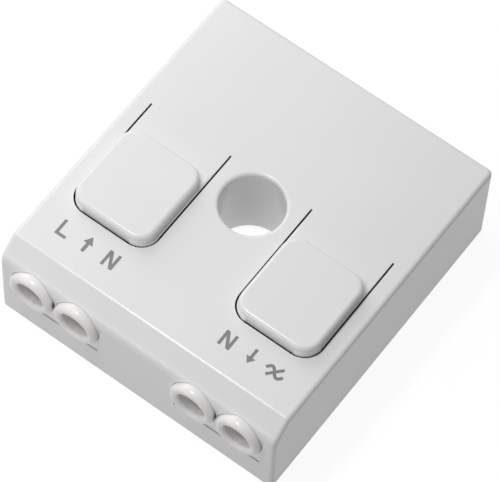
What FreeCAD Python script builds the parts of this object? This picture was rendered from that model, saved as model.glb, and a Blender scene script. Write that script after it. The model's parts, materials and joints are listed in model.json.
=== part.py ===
"""In-line mains dimmer module with push-in terminals, in millimetres.

The frame has +Z up, the wire entries face -Y, and the origin is the bottom centre of the whole unit.
"""
import FreeCAD, Part
import math
import os
import Sketcher

os.makedirs("parts", exist_ok=True)
DOC = FreeCAD.newDocument("control_unit")
SHEET = DOC.addObject("Spreadsheet::Sheet", "dims")
SUB_PARTS = []
SIDES = {"left": -1, "right": 1}

# Driving dimensions: name, value in mm or degrees, meaning
DIMENSIONS = [
    ("over", 1.0, "how far a cut runs past the face that it opens"),
    ("join", 0.5, "how far a piece runs into the one that it joins"),
    ("case_width", 36.3, "width of the housing at its top"),
    ("case_length", 39.6, "front wall to back wall at the top"),
    ("case_height", 12.5, "underside to top face"),
    ("wall", 1.3, "side wall of the cover"),
    ("roof", 1.3, "top wall of the cover"),
    ("edge_round", 0.5, "rounding of the top and front edges"),
    ("back_round", 0.7, "rounding of the upright back edges"),
    ("slope_angle", 43, "front slope, degrees"),
    ("slope_drop", 2.24, "height of the front slope"),
    ("slope_round", 2.4, "rounding where the slope meets the front wall"),
    ("hole_radius", 3.66, "centre hole through the cover"),
    ("hole_back", 0.7, "centre hole behind the middle of the housing"),
    ("hole_rim_round", 0.4, "rounding of the hole's top rim"),
    ("tube_wall", 1.2, "wall of the tube round the hole"),
    ("tube_gap", 0.1, "tube end above the base"),
    ("tab_inner", 5.48, "middle of the housing to a tab's inner edge"),
    ("tab_rim", 2.21, "side of the housing to a tab's outer edge"),
    ("tab_setback", 8.89, "front wall to the free end of a tab"),
    ("tab_length", 14.95, "hinge line to the free end of a tab"),
    ("tab_thickness", 1.1, "plate of a tab"),
    ("tab_corner", 2.19, "rounded free corners of a tab"),
    ("slit_width", 0.22, "slit round a tab"),
    ("web_thickness", 0.5, "living hinge"),
    ("web_length", 1.2, "living hinge, along Y"),
    ("hinge_gap", 0.08, "gap between tab and cover at the hinge line"),
    ("pad_height", 1.5, "raised pad above the top face"),
    ("pad_length", 10.98, "raised pad, along Y"),
    ("pad_inner", 0.25, "tab's inner edge to the pad's side"),
    ("pad_outer", 0.1, "tab's outer edge to the pad's side"),
    ("pad_setback", 0.08, "tab's free end to the pad's front"),
    ("pad_corner", 2.0, "corners of the pad in plan"),
    ("pad_round", 0.45, "rounding of the pad's top edge"),
    ("prong_gap", 0.07, "push prong above its clamp leaf"),
    ("prong_width", 0.5, "push prong, along X"),
    ("prong_root", 0.8, "push prong at the plate, along Y"),
    ("prong_tip", 0.5, "push prong at its tip, along Y"),
    ("prong_spread", 1.15, "wire axis to the middle of a prong"),
    ("prong_setback", 1.32, "tab's free end to the middle of a prong"),
    ("wire_drop", 4.8, "top face to wire axis"),
    ("collar_reach", 0.8, "wire collar in front of the front wall"),
    ("collar_radius", 2.85, "outer radius of a wire collar"),
    ("collar_bead", 0.6, "rounded rim of a wire collar"),
    ("collar_tail", 2.4, "collar behind the front wall face"),
    ("collar_clearance", 0.04, "collar to its hole in the cover"),
    ("collar_edge", 0.025, "collar to the side of its block"),
    ("bore_radius", 1.35, "wire bore behind the funnel"),
    ("funnel_depth", 1.2, "rim bead centre to the wire bore"),
    ("bore_length", 3.9, "wire bore"),
    ("window_edge", 0.25, "block's side to its window in the front wall"),
    ("window_sill", 0.1, "board to the window"),
    ("window_clearance", 0.05, "block to window"),
    ("block_recess", 0.1, "block face behind the front wall"),
    ("block_inner", 4.86, "middle of the housing to a terminal block"),
    ("block_side_gap", 0.29, "terminal block to the inside of the side wall"),
    ("block_length", 12.5, "terminal block behind the front wall"),
    ("block_headroom", 1.6, "ceiling to a terminal block's top"),
    ("block_nose", 0.7, "low front part of the block"),
    ("block_nose_drop", 0.7, "block's top to its low front part"),
    ("block_gap", 0.1, "block to the inside of the front wall"),
    ("block_floor", 0.8, "floor of a clamp chamber"),
    ("chamber_half", 1.8, "half the width of a clamp chamber"),
    ("chamber_length", 8.25, "clamp chamber, along Y"),
    ("bar_width", 1.5, "contact bar"),
    ("bar_thickness", 0.55, "contact bar"),
    ("bar_rise", 0.05, "contact face above the top of the wire bore"),
    ("bar_inset", 0.4, "front end of the bar in its notch"),
    ("bar_gap", 0.02, "notch below the bar"),
    ("bar_leg", 0.9, "width of the bar's solder leg"),
    ("leg_clearance", 0.1, "solder leg to its slot"),
    ("leg_wall_gap", 0.05, "solder leg to the back of its chamber"),
    ("spring_width", 2.8, "clamp spring strip"),
    ("spring_thickness", 0.3, "clamp spring strip"),
    ("spring_bend", 0.55, "middle radius of the spring's bend"),
    ("spring_gap", 0.1, "spring foot's bend end to leaf"),
    ("spring_lift", 0.05, "spring foot above the chamber floor"),
    ("spring_front_gap", 0.1, "spring bend behind the chamber's front"),
    ("foot_length", 4.7, "flat part of the spring foot"),
    ("leaf_length", 6.95, "clamp leaf"),
    ("leaf_gap", 0.07, "tip of a clamp leaf below its contact bar"),
    ("base_thickness", 1.3, "base plate"),
    ("base_clearance", 0.1, "base plate to the cover's walls"),
    ("base_hole_radius", 4.2, "centre hole through the base"),
    ("base_round", 0.25, "rounding of the base's lower hole edge"),
    ("post_radius", 1.4, "board post"),
    ("back_post_inset", 3.2, "side of the board to a back post"),
    ("back_post_depth", 3.8, "back of the board to a back post"),
    ("front_post_x", 3.3, "front posts from the middle"),
    ("front_post_depth", 3.7, "front of the board to a front post"),
    ("hook_end", 9.0, "inside of the front or back wall to a snap hook's middle"),
    ("hook_width", 3.0, "snap hook, along Y"),
    ("hook_thickness", 0.8, "snap hook arm"),
    ("hook_nose", 0.4, "snap hook nose beyond its arm"),
    ("hook_lip", 0.2, "upright edge of a snap hook's nose"),
    ("hook_gap", 0.05, "top of a hook's pocket below the board's top"),
    ("hook_bite", 1.05, "catching face below the top of its pocket"),
    ("hook_clearance", 0.12, "hook nose to its pocket"),
    ("board_drop", 9.7, "top face to the underside of the circuit board"),
    ("board_thickness", 1.0, "circuit board"),
    ("board_side_gap", 1.15, "board to the inside of a side wall"),
    ("board_front_gap", 0.9, "board to the inside of the front wall"),
    ("board_back_gap", 0.6, "board to the inside of the back wall"),
    ("board_hole_gap", 0.3, "board to the tube"),
    ("board_corner", 1.0, "corners of the board"),
    ("rib_width", 1.2, "board rib on the back wall, along X"),
    ("rib_depth", 1.6, "board rib, along Y"),
    ("rib_inset", 2.7, "side of the board to the middle of a rib"),
    ("rib_gap", 0.05, "board rib above the board"),
    ("edge_gap", 0.5, "side of the board to its outermost components"),
    ("back_gap", 1.2, "back of the board to its rearmost components"),
    ("part_gap", 0.2, "between components"),
    ("block_back_gap", 0.15, "terminal block to the transistor leads behind it"),
    ("transistor_tab", 0.8, "metal tab behind a dimmer transistor"),
    ("transistor_lead", 0.7, "leads before a dimmer transistor"),
    ("transistor_lead_width", 0.8, "one lead of a dimmer transistor"),
    ("transistor_metal_height", 0.5, "height of the transistor's tab and leads"),
    ("chip_leg", 0.7, "leg beside a chip"),
    ("chip_leg_width", 0.4, "one leg of a chip"),
    ("chip_leg_pitch", 1.27, "between the legs of a chip"),
    ("chip_leg_height", 0.4, "leg of a chip above the board"),
    ("lead_radius", 0.3, "bare lead of a wired component"),
    ("leg_radius", 0.36, "upright lead of the fuse resistor"),
    ("leg_reach", 0.6, "end of the fuse resistor to its upright leads"),
    ("lying_can_radius", 2.3, "lying smoothing capacitor"),
    ("lying_can_length", 9.5, "lying smoothing capacitor, along X"),
    ("standing_can_radius", 2.1, "standing smoothing capacitor"),
    ("standing_can_height", 6.6, "standing smoothing capacitor"),
    ("choke_offset", 0.5, "choke and standing capacitor, right of the middle"),
    ("choke_radius", 2.5, "flanges of the choke"),
    ("choke_height", 5.2, "choke above the board"),
    ("choke_core", 1.7, "core radius of the choke's winding"),
    ("choke_flange", 0.9, "thickness of the choke's flanges"),
    ("radio_lift", 2.5, "radio board above the circuit board"),
    ("radio_edge", 0.5, "side of the radio board to what it carries"),
    ("header_bar", 1.6, "plastic bar of the header, square"),
    ("header_pin", 0.5, "header pin, square"),
    ("header_pitch", 2.0, "between header pins"),
    ("header_spread", 3.4, "header rows from the radio board's middle"),
    ("varistor_radius", 3.2, "varistor disc"),
    ("varistor_thickness", 3.0, "varistor disc, along X"),
    ("varistor_offset", 2.7, "varistor, left of the middle"),
    ("varistor_lift", 0.4, "varistor disc above the board"),
    ("varistor_lead_spread", 2.0, "varistor leads from its middle"),
    ("fuse_radius", 1.3, "body of the fuse resistor"),
    ("fuse_length", 5.2, "body of the fuse resistor, along Y"),
    ("fuse_offset", 2.9, "fuse resistor, right of the middle"),
    ("fuse_lift", 0.3, "fuse resistor above the board"),
    ("row_edge", 0.8, "front of the board, or the tube's hole in it, to a row of small parts"),
    ("row_pitch", 2.6, "between the small parts of a row"),
    ("column_gap", 0.35, "transistor to the column of small parts beside it"),
    ("column_pitch", 2.1, "between the small parts of a column"),
]

# Box-shaped board components: name, width, length and height
COMPONENTS = [
    ("transistor", 6.6, 4.2, 2.3),
    ("rectifier", 4.7, 2.4, 1.5),
    ("regulator", 4.7, 2.0, 1.5),
    ("driver", 4.9, 3.0, 1.5),
    ("film", 9.8, 3.8, 6.5),
    ("radio", 11.0, 8.6, 0.8),
    ("shield", 7.0, 6.6, 1.7),
    ("antenna", 1.6, 5.0, 1.1),
    ("ceramic", 1.2, 0.8, 0.8),
    ("resistor", 1.2, 0.8, 0.5),
]

# Places and heights that several pieces share, worked out from the driving dimensions
MID = "(dims.collar_reach / 2)"
HALF_WIDTH = "(dims.case_width / 2)"
FRONT = f"({MID} - dims.case_length / 2)"
BACK = f"({MID} + dims.case_length / 2)"
INNER_HALF = f"({HALF_WIDTH} - dims.wall)"
INNER_FRONT = f"({FRONT} + dims.wall)"
INNER_BACK = f"({BACK} - dims.wall)"
CEILING = "(dims.case_height - dims.roof)"
SLOPE = "tan(dims.slope_angle * 1 deg)"
SLOPE_WALL = "(dims.wall / cos(dims.slope_angle * 1 deg))"
CREASE = f"({FRONT} + dims.slope_drop / {SLOPE})"
HOLE_Y = f"({MID} + dims.hole_back)"
TUBE_RADIUS = "(dims.hole_radius + dims.tube_wall)"
TAB_OUTER = f"({HALF_WIDTH} - dims.tab_rim)"
TAB_WIDTH = f"({TAB_OUTER} - dims.tab_inner)"
TAB_MIDDLE = f"(({TAB_OUTER} + dims.tab_inner) / 2)"
TAB_FRONT = f"({FRONT} + dims.tab_setback)"
HINGE = f"({TAB_FRONT} + dims.tab_length)"
TAB_BOTTOM = "(dims.case_height - dims.tab_thickness)"
BOARD_BOTTOM = "(dims.case_height - dims.board_drop)"
BOARD_TOP = f"({BOARD_BOTTOM} + dims.board_thickness)"
BOARD_HALF = f"({INNER_HALF} - dims.board_side_gap)"
BOARD_FRONT = f"({INNER_FRONT} + dims.board_front_gap)"
BOARD_BACK = f"({INNER_BACK} - dims.board_back_gap)"
HOOK_TOP = f"({BOARD_TOP} - dims.hook_gap)"
HOOK_CATCH = f"({HOOK_TOP} - dims.hook_bite)"

# Terminal blocks, wires and clamps
BLOCK_OUTER = f"({INNER_HALF} - dims.block_side_gap)"
BLOCK_HALF = f"(({BLOCK_OUTER} - dims.block_inner) / 2)"
BLOCK_MIDDLE = f"(({BLOCK_OUTER} + dims.block_inner) / 2)"
BLOCK_FRONT = f"({INNER_FRONT} + dims.block_gap)"
BLOCK_BACK = f"({BLOCK_FRONT} + dims.block_length)"
BLOCK_TOP = f"({CEILING} - dims.block_headroom)"
WINDOW_HALF = f"({BLOCK_HALF} - dims.window_edge)"
WINDOW_LOW = f"({BOARD_TOP} + dims.window_sill)"
WIRE_SPREAD = f"({BLOCK_HALF} - dims.collar_edge - dims.collar_radius)"
WIRE_Z = "(dims.case_height - dims.wire_drop)"
BAR_Z = f"({WIRE_Z} + dims.bore_radius + dims.bar_rise)"
BEAD_Y = f"({FRONT} - dims.collar_reach + dims.collar_bead)"
BORE_FRONT = f"({BEAD_Y} + dims.funnel_depth)"
CHAMBER_FRONT = f"({BORE_FRONT} + dims.bore_length)"
CHAMBER_BACK = f"({CHAMBER_FRONT} + dims.chamber_length)"
CHAMBER_FLOOR = f"({BOARD_TOP} + dims.block_floor)"
LEG_BACK = f"({CHAMBER_BACK} - dims.leg_wall_gap)"
LEG_FOOT = f"((dims.base_thickness + {BOARD_BOTTOM}) / 2)"
SPRING_HALF = "(dims.spring_thickness / 2)"
SPRING_OUTER = f"(dims.spring_bend + {SPRING_HALF})"
SPRING_INNER = f"(dims.spring_bend - {SPRING_HALF})"
BEND_Y = f"({CHAMBER_FRONT} + dims.spring_front_gap + {SPRING_OUTER})"
BEND_Z = f"({CHAMBER_FLOOR} + dims.spring_lift + {SPRING_OUTER})"
# The leaf rises from the end of the bend until the upper edge of its tip is just below the bar
LEAF_RISE = f"({BAR_Z} - dims.leaf_gap - {BEND_Z})"
LEAF_SPAN = f"sqrt(dims.leaf_length^2 + {SPRING_OUTER}^2)"
LEAF_ANGLE = f"(asin({LEAF_RISE} / {LEAF_SPAN}) - atan({SPRING_OUTER} / dims.leaf_length))"
LEAF_SIN = f"sin({LEAF_ANGLE})"
LEAF_COS = f"cos({LEAF_ANGLE})"
# The leaf turns about the middle of the strip where the bend ends
PIVOT_Y = f"({BEND_Y} - dims.spring_bend * {LEAF_SIN})"
PIVOT_Z = f"({BEND_Z} + dims.spring_bend * {LEAF_COS})"
PRONG_MIDDLE = f"({TAB_FRONT} + dims.prong_setback)"
PRONG_RUN = f"({PRONG_MIDDLE} + dims.prong_tip / 2 - {PIVOT_Y})"
PRONG_TIP_Z = f"({PIVOT_Z} + ({PRONG_RUN} * {LEAF_SIN} + {SPRING_HALF}) / {LEAF_COS} + dims.prong_gap)"

# Middle x and front y of the board components: rows from the back wall, the blocks and the front
EDGE = f"({BOARD_HALF} - dims.edge_gap)"
REAR = f"({BOARD_BACK} - dims.back_gap)"
ROW_BACK = f"({BOARD_FRONT} + dims.row_edge + dims.resistor_length)"
FILM_FRONT = f"({REAR} - 2 * dims.lying_can_radius - dims.part_gap - dims.film_length)"
RADIO_FRONT = f"({REAR} - dims.radio_length)"
RADIO_X = f"(dims.radio_width / 2 - {EDGE})"
RADIO_MIDDLE = f"({RADIO_FRONT} + dims.radio_length / 2)"
CHIP_BACK = "(dims.part_gap + dims.chip_leg)"
CAN_FRONT = f"({BOARD_BACK} - dims.part_gap - 2 * dims.standing_can_radius)"
PLACES = {
    "transistor": (f"({EDGE} - dims.transistor_width / 2)",
                   f"({BLOCK_BACK} + dims.block_back_gap + dims.transistor_lead)"),
    "rectifier": (f"({EDGE} - dims.film_width / 2)",
                  f"({FILM_FRONT} - {CHIP_BACK} - dims.rectifier_length)"),
    "regulator": (RADIO_X, f"({RADIO_FRONT} - {CHIP_BACK} - dims.regulator_length)"),
    "driver": (RADIO_X, f"({RADIO_MIDDLE} - dims.driver_length / 2)"),
    "film": (f"({EDGE} - dims.film_width / 2)", FILM_FRONT),
    "lying_can": (f"({EDGE} - dims.lying_can_length / 2)", f"({REAR} - 2 * dims.lying_can_radius)"),
    "standing_can": ("dims.choke_offset", CAN_FRONT),
    "choke": ("dims.choke_offset", f"({CAN_FRONT} - dims.part_gap - 2 * dims.choke_radius)"),
    "fuse": ("dims.fuse_offset", f"({ROW_BACK} + dims.part_gap + dims.leg_radius + dims.leg_reach)"),
    "varistor": ("-dims.varistor_offset", f"({ROW_BACK} + dims.part_gap)"),
    "radio": (RADIO_X, RADIO_FRONT),
    "shield": (f"({RADIO_X} + dims.radio_edge + (dims.shield_width - dims.radio_width) / 2)",
               f"({RADIO_MIDDLE} - dims.shield_length / 2)"),
    "antenna": (f"({RADIO_X} - dims.radio_edge + (dims.radio_width - dims.antenna_width) / 2)",
                f"({RADIO_MIDDLE} - dims.antenna_length / 2)"),
}


def in_row(number):
    """Middle x of a small part in a row across the board."""
    return f"{number} * dims.row_pitch"


def in_column(side, number, kind):
    """Middle x and front y of a small part in the column beside a transistor."""
    return (f"{side} * ({EDGE} - dims.transistor_width - dims.column_gap - dims.{kind}_width / 2)",
            f"{PLACES['transistor'][1]} + {number} * dims.column_pitch")


TUBE_ROW = f"({HOLE_Y} - {TUBE_RADIUS} - dims.board_hole_gap - dims.row_edge - dims.ceramic_length)"
FRONT_ROW = f"({BOARD_FRONT} + dims.row_edge)"
EDGE_X = f"({EDGE} - dims.resistor_width / 2)"
CERAMIC_SPOTS = [(in_row(number), TUBE_ROW) for number in (-1, 0, 1)]
CERAMIC_SPOTS += [in_column(-1, 0, "ceramic"), in_column(1, 0, "ceramic"), in_column(1, 1, "ceramic")]
RESISTOR_SPOTS = [(in_row(number), FRONT_ROW) for number in (-1, 0, 1)]
RESISTOR_SPOTS += [in_column(-1, 1, "resistor"), in_column(-1, 2, "resistor"),
                   in_column(1, 2, "resistor"), (f"-{EDGE_X}", PLACES["regulator"][1]),
                   (EDGE_X, PLACES["rectifier"][1])]


def fill_sheet():
    """Write the driving dimensions to the spreadsheet, one row each."""
    rows = list(DIMENSIONS)
    for name, *sizes in COMPONENTS:
        for what, size in zip(("width", "length", "height"), sizes):
            rows.append((f"{name}_{what}", size, f"{what} of the {name.replace('_', ' ')}"))
    for row, (name, value, meaning) in enumerate(rows, start=1):
        SHEET.set(f"A{row}", name)
        SHEET.set(f"B{row}", str(value))
        SHEET.set(f"C{row}", meaning)
        SHEET.setAlias(f"B{row}", name)
    DOC.recompute()


def value(expression):
    """The present number of an expression in the sheet's names."""
    result = SHEET.evalExpression(expression)
    return float(getattr(result, "Value", result))


def bind(thing, bindings):
    """Bind properties of an object to expressions."""
    for path, expression in bindings.items():
        thing.setExpression(path, expression)
    return thing


def place(thing, x, y, z):
    """Bind the position of an object."""
    return bind(thing, {"Placement.Base.x": x, "Placement.Base.y": y, "Placement.Base.z": z})


def keep(thing, label):
    """Name an object as a finished sub-part."""
    thing.Label = label
    SUB_PARTS.append(thing)
    return thing


# Part primitives and booleans

ALONG = {
    "x": FreeCAD.Rotation(FreeCAD.Vector(0, 1, 0), 90),
    "y": FreeCAD.Rotation(FreeCAD.Vector(1, 0, 0), -90),
    "z": FreeCAD.Rotation(),
}


def box(name, middle_x, front, bottom, width, length, height):
    """A box centred on middle_x, reaching back from front and up from bottom."""
    thing = DOC.addObject("Part::Box", name)
    bind(thing, {"Length": width, "Width": length, "Height": height})
    return place(thing, f"{middle_x} - ({width}) / 2", front, bottom)


def rod(name, axis, radius, length, x, y, z):
    """A cylinder that starts at x, y, z and runs along an axis."""
    thing = DOC.addObject("Part::Cylinder", name)
    thing.Placement = FreeCAD.Placement(FreeCAD.Vector(), ALONG[axis])
    bind(thing, {"Radius": radius, "Height": length})
    return place(thing, x, y, z)


def cone(name, axis, start_radius, end_radius, length, x, y, z):
    """A cone that starts at x, y, z and runs along an axis."""
    thing = DOC.addObject("Part::Cone", name)
    thing.Placement = FreeCAD.Placement(FreeCAD.Vector(), ALONG[axis])
    bind(thing, {"Radius1": start_radius, "Radius2": end_radius, "Height": length})
    return place(thing, x, y, z)


def ring(name, axis, radius, bead, x, y, z):
    """A torus centred at x, y, z."""
    thing = DOC.addObject("Part::Torus", name)
    thing.Placement = FreeCAD.Placement(FreeCAD.Vector(), ALONG[axis])
    bind(thing, {"Radius1": radius, "Radius2": bead})
    return place(thing, x, y, z)


def joined(name, things):
    """One solid from pieces that touch, or one group from pieces that don't."""
    thing = DOC.addObject("Part::MultiFuse", name)
    thing.Shapes = things
    thing.Refine = True
    return thing


def minus(name, base, tools):
    """The base with every tool cut out of it."""
    tool = tools[0]
    if len(tools) > 1:
        tool = joined(f"{name}_tools", tools)
    thing = DOC.addObject("Part::Cut", name)
    thing.Base = base
    thing.Tool = tool
    thing.Refine = True
    return thing


# Part Design bodies and their features


def new_body(label):
    """An empty body that becomes a finished sub-part."""
    return keep(DOC.addObject("PartDesign::Body", label), label)


def sketch_on(body, name, role, x="0", y="0", offset="0"):
    """An empty sketch on an origin plane of the body, moved in the plane and off it."""
    sketch = body.newObject("Sketcher::SketchObject", name)
    support = [item for item in body.Origin.OriginFeatures if item.Role == role]
    sketch.AttachmentSupport = [(support[0], "")]
    sketch.MapMode = "FlatFace"
    return bind(sketch, {
        "AttachmentOffset.Base.x": x,
        "AttachmentOffset.Base.y": y,
        "AttachmentOffset.Base.z": offset,
    })


def pin_point(sketch, line, x, y):
    """Bind the start of a line to its distances from the sketch's origin."""
    for kind, expression in (("DistanceX", x), ("DistanceY", y)):
        rule = Sketcher.Constraint(kind, -1, 1, line, 1, value(expression))
        index = sketch.addConstraint(rule)
        sketch.setExpression(f"Constraints[{index}]", expression)


def polygon(sketch, points):
    """Add a closed outline whose corners are pairs of expressions."""
    spots = [FreeCAD.Vector(value(x), value(y), 0) for x, y in points]
    first = sketch.GeometryCount
    count = len(points)
    for index, spot in enumerate(spots):
        sketch.addGeometry(Part.LineSegment(spot, spots[(index + 1) % count]), False)
    for index in range(count):
        following = first + (index + 1) % count
        sketch.addConstraint(Sketcher.Constraint("Coincident", first + index, 2, following, 1))
    for index, (x, y) in enumerate(points):
        pin_point(sketch, first + index, x, y)
    return sketch


def rectangle(sketch, x, y, width, height):
    """Add a rectangle centred at x, y."""
    left, right = f"{x} - ({width}) / 2", f"{x} + ({width}) / 2"
    low, high = f"{y} - ({height}) / 2", f"{y} + ({height}) / 2"
    return polygon(sketch, [(left, low), (right, low), (right, high), (left, high)])


def rounded_rectangle(sketch, x, y, width, height, radius):
    """Add a rectangle centred at x, y whose corners are arcs."""
    reach_x, reach_y = f"(({width}) / 2 - {radius})", f"(({height}) / 2 - {radius})"
    centres = [(f"{x} + {reach_x}", f"{y} + {reach_y}"), (f"{x} - {reach_x}", f"{y} + {reach_y}"),
               (f"{x} - {reach_x}", f"{y} - {reach_y}"), (f"{x} + {reach_x}", f"{y} - {reach_y}")]
    spots = [FreeCAD.Vector(value(across), value(along), 0) for across, along in centres]
    size = value(radius)
    for quarter, spot in enumerate(spots):
        round_part = Part.Circle(spot, FreeCAD.Vector(0, 0, 1), size)
        start = quarter * math.pi / 2
        sketch.addGeometry(Part.ArcOfCircle(round_part, start, start + math.pi / 2), False)
    for quarter, spot in enumerate(spots):
        way = FreeCAD.Rotation(FreeCAD.Vector(0, 0, 1), 90 * (quarter + 1))
        out = way.multVec(FreeCAD.Vector(size, 0, 0))
        sketch.addGeometry(Part.LineSegment(spot + out, spots[(quarter + 1) % 4] + out), False)
    for quarter in range(4):
        sketch.addConstraint(Sketcher.Constraint("Tangent", quarter, 2, 4 + quarter, 1))
        sketch.addConstraint(Sketcher.Constraint("Tangent", 4 + quarter, 2, (quarter + 1) % 4, 1))
    for quarter, (across, along) in enumerate(centres):
        bind_arc(sketch, quarter, across, along, radius)
    return sketch


def bind_arc(sketch, index, x, y, radius):
    """Bind the centre and radius of a circle or an arc."""
    rules = (
        (Sketcher.Constraint("DistanceX", -1, 1, index, 3, value(x)), x),
        (Sketcher.Constraint("DistanceY", -1, 1, index, 3, value(y)), y),
        (Sketcher.Constraint("Radius", index, value(radius)), radius),
    )
    for rule, expression in rules:
        place_in_list = sketch.addConstraint(rule)
        sketch.setExpression(f"Constraints[{place_in_list}]", expression)


def circle(sketch, x, y, radius):
    """Add a circle with bound centre and radius."""
    centre = FreeCAD.Vector(value(x), value(y), 0)
    outline = Part.Circle(centre, FreeCAD.Vector(0, 0, 1), value(radius))
    bind_arc(sketch, sketch.addGeometry(outline, False), x, y, radius)
    return sketch


def extrude(body, kind, name, sketch, length, reverse=False, both_ways=False):
    """Pad or pocket a sketch by a bound length."""
    feature = body.newObject(f"PartDesign::{kind}", name)
    feature.Profile = sketch
    feature.Reversed = reverse
    feature.Midplane = both_ways
    bind(feature, {"Length": length})
    DOC.recompute()
    return feature


def edges_where(feature, test):
    """Names of the feature's edges whose bounding box passes a test."""
    names = []
    for number, edge in enumerate(feature.Shape.Edges, start=1):
        if test(edge.BoundBox):
            names.append(f"Edge{number}")
    return names


def soften(body, name, feature, test, radius):
    """Round the edges that pass a test."""
    names = edges_where(feature, test)
    if not names:
        raise RuntimeError(f"{name} found no edge to round")
    rounding = body.newObject("PartDesign::Fillet", name)
    rounding.Base = (feature, names)
    bind(rounding, {"Radius": radius})
    DOC.recompute()
    return rounding


def upright(bounds):
    """Whether an edge runs mostly along Z."""
    return bounds.ZLength > 2 * max(bounds.XLength, bounds.YLength)


def level_at(height):
    """A test for edges that lie level at a height."""
    return lambda bounds: abs(bounds.ZMin - height) < 0.01 and abs(bounds.ZMax - height) < 0.01


def near(number, target, slack=0.05):
    """Whether two numbers are nearly the same."""
    return abs(number - target) < slack


# Housing


def make_cover_walls(body):
    """The outer block with its slope and rounded edges."""
    half, front, back = value(HALF_WIDTH), value(FRONT), value(BACK)
    top = value("dims.case_height")
    outline = sketch_on(body, "cover_outline", "XY_Plane")
    rectangle(outline, "0", MID, "dims.case_width", "dims.case_length")
    extrude(body, "Pad", "cover_block", outline, "dims.case_height")
    profile = sketch_on(body, "slope_profile", "YZ_Plane")
    beyond = f"{FRONT} - dims.over"
    polygon(profile, [
        (CREASE, "dims.case_height"),
        (CREASE, "dims.case_height + dims.over"),
        (beyond, "dims.case_height + dims.over"),
        (beyond, f"dims.case_height - dims.slope_drop - dims.over * {SLOPE}"),
    ])
    solid = extrude(body, "Pocket", "slope_cut", profile, "2 * dims.case_width", both_ways=True)
    solid = soften(body, "back_corners", solid, lambda b: upright(b) and b.YMax > back - 0.5,
                   "dims.back_round")
    foot_of_slope = top - value("dims.slope_drop")
    solid = soften(body, "slope_foot", solid,
                   lambda b: near(b.ZMax, foot_of_slope, 0.2) and b.XLength > half, "dims.slope_round")
    # The upright front edges run on into the slope's sides, so one rounding takes both
    return soften(body, "top_and_front_edges", solid,
                  lambda b: near(b.ZMax, top, 0.01) and not upright(b), "dims.edge_round")


def hollow_cover(body):
    """The inside of the shell, which follows the slope, and the tube round the centre hole."""
    profile = sketch_on(body, "cavity_profile", "YZ_Plane")
    inner_slope_top = f"{CREASE} + ({SLOPE_WALL} - dims.roof) / {SLOPE}"
    inner_slope_foot = f"dims.case_height - {SLOPE_WALL} - ({CREASE} - {INNER_FRONT}) * {SLOPE}"
    polygon(profile, [
        (INNER_FRONT, "-dims.over"), (INNER_BACK, "-dims.over"), (INNER_BACK, CEILING),
        (inner_slope_top, CEILING), (INNER_FRONT, inner_slope_foot),
    ])
    extrude(body, "Pocket", "cavity", profile, f"2 * {INNER_HALF}", both_ways=True)
    tube_foot = "(dims.base_thickness + dims.tube_gap)"
    tube = circle(sketch_on(body, "tube_circle", "XY_Plane", offset=tube_foot), "0", HOLE_Y, TUBE_RADIUS)
    extrude(body, "Pad", "tube", tube, f"{CEILING} - {tube_foot} + dims.roof / 2")
    ribs = sketch_on(body, "rib_outlines", "XY_Plane", offset=f"{BOARD_TOP} + dims.rib_gap")
    rib_y = f"{INNER_BACK} + (dims.join - dims.rib_depth) / 2"
    for side in SIDES.values():
        rectangle(ribs, f"{side} * ({BOARD_HALF} - dims.rib_inset)", rib_y, "dims.rib_width",
                  "dims.rib_depth + dims.join")
    extrude(body, "Pad", "board_ribs", ribs, f"{CEILING} - {BOARD_TOP} - dims.rib_gap + dims.roof / 2")
    hole = sketch_on(body, "hole_circle", "XY_Plane", offset="dims.case_height + dims.over")
    circle(hole, "0", HOLE_Y, "dims.hole_radius")
    solid = extrude(body, "Pocket", "centre_hole", hole,
                    "dims.case_height + 2 * dims.over")
    radius = value("dims.hole_radius")
    top = level_at(value("dims.case_height"))
    return soften(body, "hole_rim", solid, lambda b: top(b) and near(b.XLength, 2 * radius, 0.1),
                  "dims.hole_rim_round")


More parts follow.
